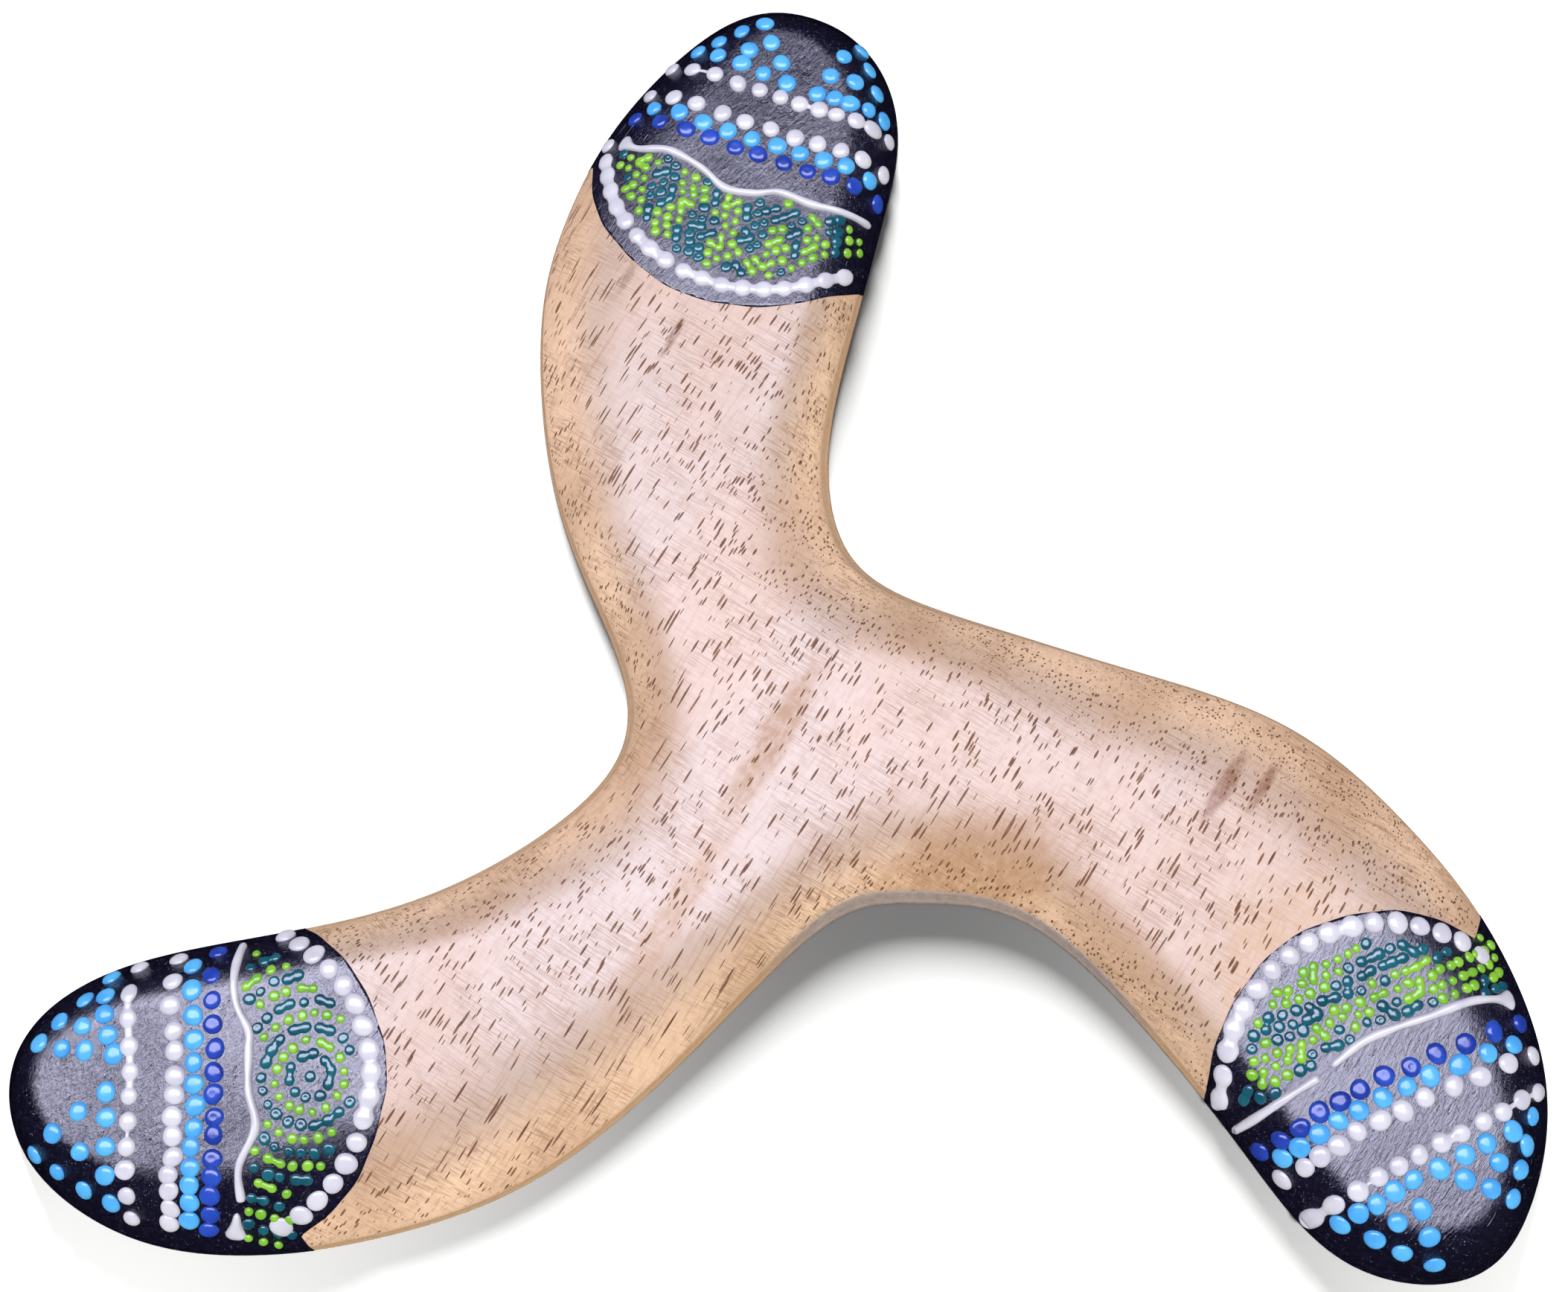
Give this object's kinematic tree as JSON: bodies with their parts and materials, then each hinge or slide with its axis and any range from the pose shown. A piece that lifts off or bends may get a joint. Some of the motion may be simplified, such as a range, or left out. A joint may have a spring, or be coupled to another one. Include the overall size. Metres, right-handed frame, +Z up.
{
  "type": "boomerang",
  "caption": "Flat-bottomed three-armed wooden boomerang with a domed top, curved arms and dark lacquered tips carrying raised dots and wavy lines.",
  "frame": {"origin": "under the middle of the hub, on the flat underside", "axes": "+Z up out of the domed face, +Y along the north arm, +X to the right of it seen from above"},
  "size_m": [0.2635, 0.2361, 0.0111],
  "materials": {
    "wood": "pale open-pored hardwood under clear satin varnish",
    "dark_lacquer": "glossy blue-black lacquer",
    "white_paint": "raised glossy white paint",
    "royal_blue_paint": "raised glossy royal blue paint",
    "sky_blue_paint": "raised glossy sky blue paint",
    "lime_paint": "raised glossy lime green paint",
    "teal_paint": "raised glossy teal paint"
  },
  "bodies": {
    "root": {"wood_body": "wood", "base_coat_north": "dark_lacquer", "base_coat_right": "dark_lacquer", "base_coat_left": "dark_lacquer", "border_beads_north": "white_paint", "wave_line_1_north": "white_paint", "royal_row_north": "royal_blue_paint", "sky_row_north": "sky_blue_paint", "white_row_north": "white_paint", "outer_row_north": "white_paint", "sky_fan_lead_north": "sky_blue_paint", "sky_fan_trail_north": "sky_blue_paint", "teal_arc_1_north": "teal_paint", "teal_arc_2_north": "teal_paint", "teal_arc_3_north": "teal_paint", "lime_arc_1_north": "lime_paint", "lime_arc_2_north": "lime_paint", "border_beads_right": "white_paint", "wave_line_1_right": "white_paint", "wave_line_2_right": "white_paint", "royal_row_right": "royal_blue_paint", "sky_row_right": "sky_blue_paint", "white_row_right": "white_paint", "outer_row_right": "white_paint", "sky_fan_lead_right": "sky_blue_paint", "sky_fan_trail_right": "sky_blue_paint", "teal_arc_1_right": "teal_paint", "teal_arc_2_right": "teal_paint", "teal_arc_3_right": "teal_paint", "lime_arc_1_right": "lime_paint", "lime_arc_2_right": "lime_paint", "border_beads_left": "white_paint", "wave_line_1_left": "white_paint", "wave_line_2_left": "white_paint", "royal_row_left": "royal_blue_paint", "sky_row_left": "sky_blue_paint", "white_row_left": "white_paint", "outer_row_left": "white_paint", "sky_fan_lead_left": "sky_blue_paint", "sky_fan_trail_left": "sky_blue_paint", "teal_arc_1_left": "teal_paint", "teal_arc_2_left": "teal_paint", "teal_arc_3_left": "teal_paint", "lime_arc_1_left": "lime_paint", "lime_arc_2_left": "lime_paint"}
  },
  "joints": []
}
